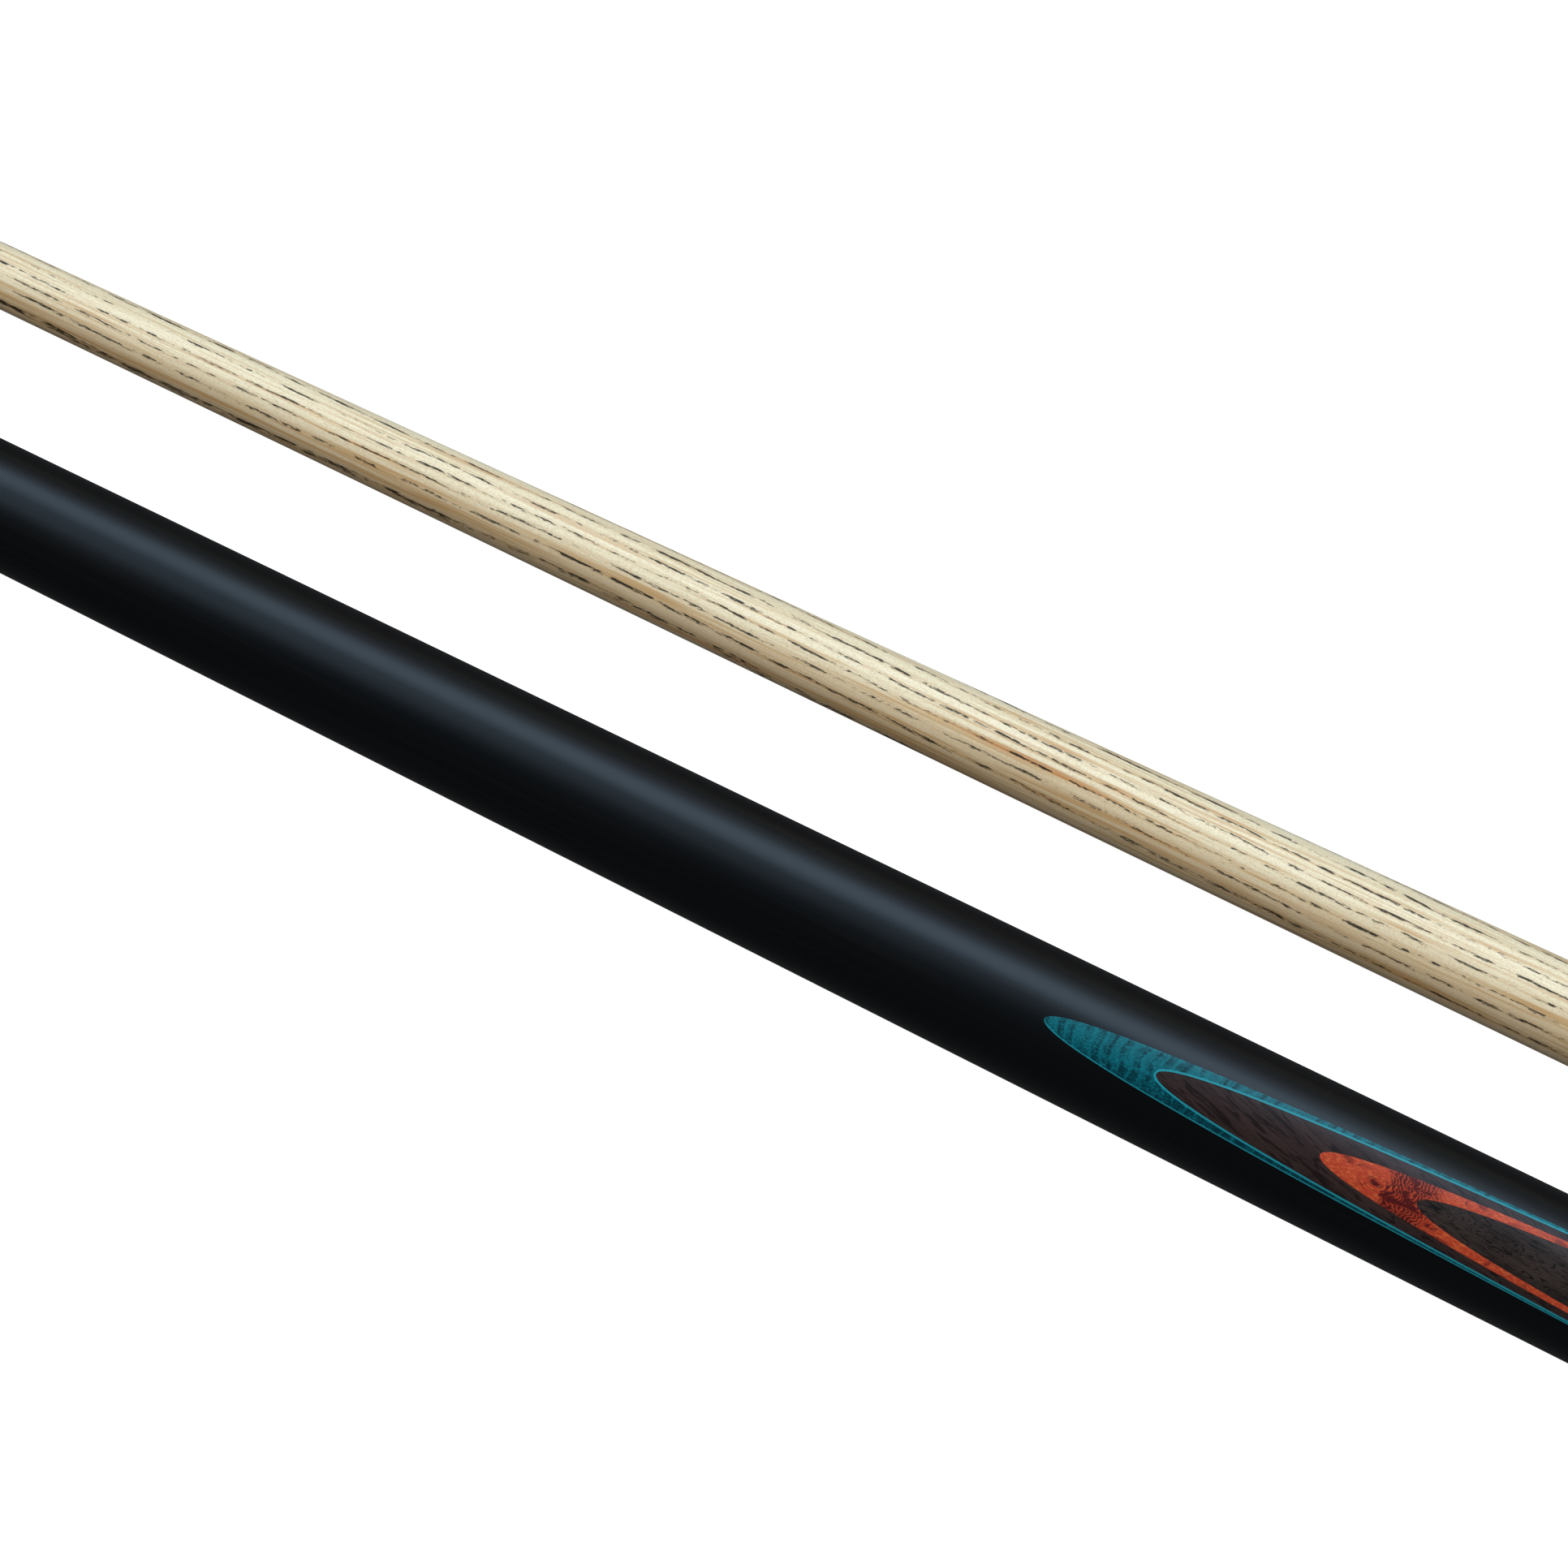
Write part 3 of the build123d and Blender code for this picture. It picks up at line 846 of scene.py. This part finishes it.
def rolledThread(start, length, radius, depth, finish, pitch=joint["threadPitch"]):
    # the points and faces of a rolled tube, in the half's own axes and in millimetres
    holder = bpy.data.objects.new("thread", bpy.data.meshes.new("thread"))
    bpy.context.scene.collection.objects.link(holder)
    modifier = holder.modifiers.new("roll", "NODES")
    modifier.node_group = threadGroup
    given = {"Start": start, "Length": length, "Radius": radius, "Depth": depth, "Pitch": pitch}
    given |= {"Stations": int(length / pitch * 8) + 1, "Sides": threadSides + 1, "Finish": finish}
    for title, value in given.items():
        modifier[threadSockets[title]] = value
    graph = bpy.context.evaluated_depsgraph_get()
    rolled = bpy.data.meshes.new_from_object(holder.evaluated_get(graph))
    points = [tuple(vertex.co) for vertex in rolled.vertices]
    faces = [tuple(polygon.vertices) for polygon in rolled.polygons]
    bpy.data.objects.remove(holder)
    return points, faces


def joined(*shapes):
    points, faces = [], []
    for somePoints, someFaces in shapes:
        faces += [tuple(index + len(points) for index in face) for face in someFaces]
        points += somePoints
    return points, faces


def openRun(profile):
    # a turned run with open ends, which meets a thread's ends
    return joinLoops([circle(x, radius, threadSides) for x, radius in profile])


def jointPin():
    radius, tip, bevel = joint["pinRadius"], -joint["pinReach"], joint["pinBevel"]
    start, end, depth = tip + bevel, -joint["pinNeck"], joint["threadDepth"]
    nose = openRun([(tip, 0), (tip, radius - bevel), (start, radius)])
    thread = rolledThread(start, end - start, radius, depth, finishes["steel"])
    anchor, back = joint["anchorRadius"], joint["anchorLength"]
    shank = openRun([(end, radius), (0, radius), (0, anchor), (back, anchor), (back, 0)])
    return finishMesh("jointPin", *joined(nose, thread, shank), buttLay)


def shaftInsert():
    # its thread is cut outwards from the bore
    radius, floor, depth = joint["boreRadius"], joint["boreDepth"], -joint["threadDepth"]
    start, end = joint["boreMouth"], floor - joint["boreNeck"]
    body = openRun(
        [
            (joint["insertEnd"], 0),
            (joint["insertEnd"], joint["insertRadius"]),
            (0, joint["insertRadius"]),
            (0, radius + joint["boreFlare"]),
            (start, radius),
        ]
    )
    thread = rolledThread(start, end - start, radius, depth, finishes["shaftBrass"])
    bottom = openRun([(end, radius), (floor, radius), (floor, 0)])
    return finishMesh("shaftInsert", *joined(body, thread, bottom), shaftLay)


settle(shaftWood(), "shaft", "shaft_wood", finishes["shaftAsh"])
settle(tipFerrule(), "shaft", "tip_ferrule", finishes["shaftBrass"])
settle(leatherTip(), "shaft", "leather_tip", finishes["leather"])
shaftCollar = finishMesh("shaftCollar", *collarShape(shaftRadius, joint["insertRadius"]), shaftLay)
settle(shaftCollar, "shaft", "shaft_collar", finishes["shaftBrass"])
settle(shaftInsert(), "shaft", "shaft_insert", finishes["shaftBrass"])
print("turned the shaft half")

# The butt half: joint

settle(jointPin(), "butt", "joint_pin", finishes["steel"])
buttCollar = finishMesh("buttCollar", *collarShape(buttRadius, joint["anchorRadius"]), buttLay)
settle(buttCollar, "butt", "butt_collar", finishes["buttBrass"])

# The butt half: square ash core

coreSteps = {"flat": 4, "corner": 24}


def coreLoop(x, radius, half):
    # a round section with four flats on it, or a square one where nothing round is left
    lean = math.acos(min(1.0, half / radius))
    reach = min(half, math.sqrt(max(radius**2 - half**2, 0)))
    loop = []
    flat, corner = coreSteps["flat"], coreSteps["corner"]
    for quarter in range(4):
        places = [(reach * (2 * step / flat - 1), half) for step in range(flat)]
        if half >= radius:
            places = [(0.0, radius)] * flat
        for step in range(corner):
            angle = lean + (math.pi / 2 - 2 * lean) * step / corner
            if lean < math.pi / 4:
                places.append((radius * math.sin(angle), radius * math.cos(angle)))
            else:
                places.append((half, half))
        loop += [atQuarter(x, side, up, quarter) for side, up in places]
    return loop


def coreCircle(x, radius):
    # a circle whose points line up with those of the square
    loop = coreLoop(x, 1.0, 0.9)
    return [(x, y / math.hypot(y, z) * radius, z / math.hypot(y, z) * radius) for x, y, z in loop]


def ashCore():
    socketStart = butt["woodEnd"] - butt["socketLength"]
    loops = [
        coreCircle(joint["anchorLength"], weld["sliver"]),
        coreCircle(joint["anchorLength"], joint["anchorRadius"]),
        coreCircle(joint["collarFace"], joint["anchorRadius"]),
        coreCircle(joint["collarFace"], joint["tenonRadius"]),
        coreCircle(joint["collarLength"], joint["tenonRadius"]),
    ]
    loops += [coreLoop(x, buttRadius(x), coreHeight(x)) for x in stations]
    loops += [
        coreCircle(butt["woodEnd"], butt["socketRadius"]),
        coreCircle(socketStart, butt["socketRadius"]),
        coreCircle(socketStart, butt["weightRadius"]),
        coreCircle(butt["weightStart"], butt["weightRadius"]),
        coreCircle(butt["weightStart"], weld["sliver"]),
    ]
    points, faces = joinLoops(loops)
    return finishMesh("ashCore", points, faces, buttLay, sharp=25)


settle(ashCore(), "butt", "ash_core", finishes["coreAsh"])

# The butt half: slabs and layers, each between a lower and an upper row of points at every station


def layeredPiece(name, tip, rows, quarter=0, fields=None):
    places = [x for x in stations if x >= tip - spacing["least"]]
    pairs = [rows(x) for x in places]
    width = len(pairs[0][0])
    points, faces, outer = [], [], []
    for x, (lower, upper, onSurface) in zip(places, pairs):
        points += [atQuarter(x, side, up, quarter) for side, up in [*lower, *upper]]
    for step in range(len(places) - 1):
        here, there = step * 2 * width, (step + 1) * 2 * width
        for column in range(width - 1):
            faces.append((here + column, here + column + 1, there + column + 1, there + column))
            outer.append(False)
            above, beyond = here + width, there + width
            faces.append((above + column, beyond + column, beyond + column + 1, above + column + 1))
            outer.append(pairs[step][2][column])
    last = (len(places) - 1) * 2 * width
    for column in range(last, last + width - 1):
        faces.append((column, column + width, column + width + 1, column + 1))
        outer.append(False)
    values = {key: [field(*point) for point in points] for key, field in (fields or {}).items()}
    return finishMesh(name, points, faces, buttLay, outer=outer, fields=values)


arcSteps = {"slab": 16, "layer": 12, "chord": 6, "edge": 3}


def evenly(start, end, steps):
    return [start + (end - start) * step / steps for step in range(steps)]


def arcRun(radius, start, end, steps):
    return [(radius * math.sin(lean), radius * math.cos(lean)) for lean in evenly(start, end, steps)]


def layerRows(x, lowCut, highCut, arcs):
    # between one long cut and the next; above the last cut there is only the turned surface
    radius = buttRadius(x)
    low = min(lowCut(x), radius)
    lean = math.acos(low / radius)
    high = min(highCut(x), radius) if highCut else radius
    inner = math.acos(high / radius)
    chord = arcSteps["chord"] if highCut else 0
    reach, edge = radius * math.sin(inner), radius * math.sin(lean)
    upper = arcRun(radius, -lean, -inner, arcs)
    upper += [(side, high) for side in evenly(-reach, reach, chord)]
    upper += [*arcRun(radius, inner, lean, arcs), (edge, low)]
    lower = [(side, low) for side in evenly(-edge, edge, len(upper) - 1)] + [(edge, low)]
    return lower, upper, [True] * arcs + [False] * chord + [True] * arcs


def sideRows(x):
    # a slab that lies between the top and bottom ones
    radius, half = buttRadius(x), min(coreHeight(x), buttRadius(x))
    reach = min(half, math.sqrt(max(radius**2 - half**2, 0)))
    shoulder = math.sqrt(radius**2 - reach**2)
    lean = math.asin(min(1.0, reach / radius))
    edge, arcs = arcSteps["edge"], 2 * arcSteps["slab"]
    upper = [(-reach, up) for up in evenly(half, shoulder, edge)]
    upper += arcRun(radius, -lean, lean, arcs)
    upper += [(reach, up) for up in evenly(shoulder, half, edge)] + [(reach, half)]
    lower = [(side, half) for side in evenly(-reach, reach, len(upper) - 1)] + [(reach, half)]
    return lower, upper, [False] * edge + [True] * arcs + [False] * edge


cuts = [lambda x, layer=layer: cutHeight(x, layer) for layer in range(4)]


def lateCut(layer):
    # a cut that stays above the wood until its tip
    return lambda x: cuts[layer](x) if x > cutTips[layer] else 2 * buttRadius(x)


farAway = {"before": 3.0, "distance": 9.0}


def distanceTo(layer, sign):
    # how far a place on the surface is from the outline of a cut, above it or, with sign -1, below it
    def away(x, y, z):
        if x < cutTips[layer] - farAway["before"]:
            return farAway["distance"]
        radius = buttRadius(x)
        height = sign * (z - cuts[layer](x))
        slope = slopeAt(buttRadius, x) * z / radius - slopeAt(cuts[layer], x)
        return height / math.sqrt((y / radius) ** 2 + slope**2)

    return away


def slabRows(x, below=False):
    return layerRows(x, coreHeight, None if below else lateCut(0), arcSteps["slab"])


layers = {
    "spliceTeal": (0, 1, "teal_burr", "splice_teal", "teal"),
    "spliceDark": (1, 2, "dark_wood", "splice_dark", "plum"),
    "spliceOrange": (2, 3, "orange_burr", "splice_orange", "orange"),
    "spliceHeart": (3, None, "heart_wood", "splice_heart", "umber"),
}
for name, (low, high, slot, node, finish) in layers.items():
    above = lateCut(high) if high is not None else None
    fields = {"fromOuter": distanceTo(0, 1), "fromInner": distanceTo(1, -1)} if low == 0 else None
    piece = layeredPiece(
        name,
        cutTips[low],
        lambda x, low=low, above=above: layerRows(x, cuts[low], above, arcSteps["layer"]),
        fields=fields,
    )
    settle(piece, "butt", node, finishes[finish])

slabs = {
    "ebonyTop": ("ebony_top", 0, slabRows),
    "ebonyBottom": ("ebony_bottom", 2, lambda x: slabRows(x, below=True)),
    "ebonyLeft": ("ebony_left", 1, sideRows),
    "ebonyRight": ("ebony_right", 3, sideRows),
}
for name, (node, quarter, rows) in slabs.items():
    settle(layeredPiece(name, pointTip, rows, quarter), "butt", node, finishes["ebony"])
print("glued up the butt")

# The butt half: end


def buttPlate():
    start, end, bore = butt["woodEnd"], butt["plateEnd"], butt["socketBore"]
    radius = butt["outline"][-1][1]
    rim = eased((end, radius), (start, radius), (end, bore), butt["plateEase"])
    profile = [(start, bore), (start, radius), *rim, (end, bore)]
    return finishMesh("buttPlate", *turnedShape(profile), buttLay)


bumper = {
    "radius": 13.2,
    "rounding": 2.5,
    "footBevel": 0.3,
    "mouth": 4.6,
    "headRadius": 7.5,
    "headStart": 716.5,
    "headEnd": 720.0,
    "studRadius": 5.0,
    "studStart": 700.0,
    "studBevel": 0.8,
    "threadEnd": 713.5,
    "threadPitch": 1.5,
    "threadDepth": 0.7,
    "hexCorner": 2.9,
    "hexDepth": 2.5,
}


def rubberBumper():
    start, end, radius = butt["washerEnd"], butt["end"], bumper["radius"]
    rounding, mouth, head = bumper["rounding"], bumper["mouth"], bumper["headRadius"]
    bevel, steps = bumper["footBevel"], 8
    # how far the points of a rounded corner lie from each of its two sides
    turns = [math.pi / 2 * step / steps for step in range(steps + 1)]
    corner = [(rounding * (1 - math.sin(turn)), rounding * (1 - math.cos(turn))) for turn in turns]
    profile = [
        (start, bumper["studRadius"]),
        (start, radius - bevel),
        (start + bevel, radius),
        *[(end - along, radius - inwards) for along, inwards in corner],
        *[(end - along, mouth + outwards) for outwards, along in corner],
        (bumper["headEnd"], mouth),
        (bumper["headEnd"], head),
        (bumper["headStart"], head),
        (bumper["headStart"], bumper["studRadius"]),
    ]
    return finishMesh("rubberBumper", *turnedShape(profile), buttLay)


def hexLoop(x, corner):
    # a hexagon with as many points as a ring of the thread
    loop = []
    for side in range(threadSides):
        turn = 2 * math.pi * side / threadSides
        fromFlat = (turn + math.pi / 6) % (math.pi / 3) - math.pi / 6
        reach = corner * math.cos(math.pi / 6) / math.cos(fromFlat)
        loop.append((x, reach * math.sin(turn), reach * math.cos(turn)))
    return loop


def bumperStud():
    radius, start, end = bumper["studRadius"], bumper["studStart"], bumper["headEnd"]
    bevel, threadEnd, corner = bumper["studBevel"], bumper["threadEnd"], bumper["hexCorner"]
    nose = openRun([(start, 0), (start, radius - bevel), (start + bevel, radius)])
    thread = rolledThread(
        start + bevel,
        threadEnd - start - bevel,
        radius,
        bumper["threadDepth"],
        finishes["steel"],
        bumper["threadPitch"],
    )
    neck = [(threadEnd, radius), (bumper["headStart"], radius)]
    head = [(bumper["headStart"], bumper["headRadius"]), (end, bumper["headRadius"])]
    loops = [circle(x, size, threadSides) for x, size in neck + head]
    recess = end - bumper["hexDepth"]
    loops += [hexLoop(end, corner), hexLoop(recess, corner), circle(recess, 0, threadSides)]
    return finishMesh("bumperStud", *joined(nose, thread, joinLoops(loops)), buttLay)


settle(buttPlate(), "butt", "butt_plate", finishes["buttBrass"])
settle(rubberBumper(), "bumper", "rubber_bumper", finishes["rubber"])
settle(bumperStud(), "bumper", "bumper_stud", finishes["steel"])
# these keep the plain shapes they have
keptNodes = {
    "balance_weight": "steel",
    "extension_socket": "buttBrass",
    "bumper_washer": "fibre",
}
for node, finish in keptNodes.items():
    for place in frame["nodes"][node].material_slots:
        place.material = finishes[finish]
print("fitted the end of the butt")

# Stage, light and camera

# The camera looks straight down at a place in the butt's axes. Sizes are in millimetres.
view = {
    "along": 458.1,
    "aside": 17.9,
    "turn": 26.24,  # degrees
    "frameWidth": 290.5,
    "height": 1600.0,
    "focus": 12.9,
    "sensor": 36.0,
    "reach": 200.0,  # metres
}


def putCamera():
    camera = bpy.data.cameras.new("camera")
    camera.sensor_width = view["sensor"]
    camera.lens = view["sensor"] * view["height"] / view["frameWidth"]
    camera.clip_end = view["reach"]
    holder = bpy.data.objects.new("camera", camera)
    aim = buttLay @ Vector((view["along"] * mm, view["aside"] * mm, 0))
    holder.location = (aim.x, aim.y, (view["focus"] + view["height"]) * mm)
    holder.rotation_euler = (0, 0, math.radians(view["turn"]))
    bpy.context.scene.collection.objects.link(holder)
    bpy.context.scene.camera = holder


paper = {"grey": 0.2, "glow": 0.97, "radius": 40, "height": -0.0002}  # sizes in metres


def plainPaper():
    material = bpy.data.materials.new("pale paper")
    material.use_nodes = True
    tree = material.node_tree
    tree.nodes.clear()
    wire = Wire(tree, None)
    grey = (paper["grey"], paper["grey"], paper["grey"], 1)
    matte = wire.node("ShaderNodeBsdfDiffuse", inputs={"Color": grey})
    glow = wire.node("ShaderNodeEmission", inputs={"Color": (1, 1, 1, 1), "Strength": paper["glow"]})
    both = wire.node("ShaderNodeAddShader", inputs={0: matte, 1: glow})
    out = tree.nodes.new("ShaderNodeOutputMaterial")
    tree.links.new(both.socket, out.inputs["Surface"])
    return material


def paperSheet():
    # it lights nothing and shows in no gloss, so the lights alone shape the wood
    shape = bmesh.new()
    bmesh.ops.create_circle(shape, cap_ends=True, segments=64, radius=paper["radius"])
    mesh = bpy.data.meshes.new("floor")
    shape.to_mesh(mesh)
    shape.free()
    sheet = bpy.data.objects.new("floor", mesh)
    sheet.location.z = paper["height"]
    mesh.materials.append(plainPaper())
    bpy.context.scene.collection.objects.link(sheet)
    sheet.visible_glossy = False
    sheet.visible_diffuse = False


cool, warm, plain = (0.75, 0.88, 1.0), (1.0, 0.97, 0.90), (1.0, 1.0, 1.0)
# where each stands (along, aside and above the middle of the table), its size, power and colour;
# metres and watts
lights = {
    "key": ((0.3, 1.18, 0.95), (2.0, 0.8), 20, cool),
    "shoulder": ((-0.5, 0.32, 1.45), (1.1, 0.6), 4, (0.74, 0.88, 1.0)),
    "rim": ((0.0, 2.4, 0.5), (3.0, 0.8), 4, (1.0, 0.99, 0.97)),
    "fill": ((0.0, 0.7, 1.6), (2.4, 1.2), 13, warm),
    "back": ((0.0, -1.8, 0.9), (2.4, 1.2), 9, warm),
    "left": ((-1.6, 0.0, 0.6), (0.8, 0.8), 5, plain),
    "right": ((1.6, 0.0, 0.6), (0.8, 0.8), 5, plain),
}
withoutHighlight = ("fill", "back")
aimShare = 0.6  # how far along a light aims, as a share of how far along it stands
room = {"colour": (0.95, 0.97, 1.0, 1.0), "strength": 0.07}


def softLight(name, place, size, power, colour):
    lamp = bpy.data.lights.new(name, "AREA")
    lamp.shape = "RECTANGLE"
    lamp.size, lamp.size_y = size
    lamp.energy = power
    lamp.color = colour
    holder = bpy.data.objects.new(name, lamp)
    holder.location = place
    facing = Vector((place[0] * aimShare, 0, 0)) - holder.location
    holder.rotation_euler = facing.to_track_quat("-Z", "Y").to_euler()
    holder.visible_camera = False
    holder.visible_glossy = name not in withoutHighlight
    bpy.context.scene.collection.objects.link(holder)


def lightRoom():
    world = bpy.data.worlds.new("room")
    world.use_nodes = True
    backdrop = world.node_tree.nodes["Background"]
    backdrop.inputs["Color"].default_value = room["colour"]
    backdrop.inputs["Strength"].default_value = room["strength"]
    bpy.context.scene.world = world
    bpy.context.scene.view_settings.view_transform = "Standard"
    for name, light in lights.items():
        softLight(name, *light)


putCamera()
paperSheet()
lightRoom()
print("lit the table")
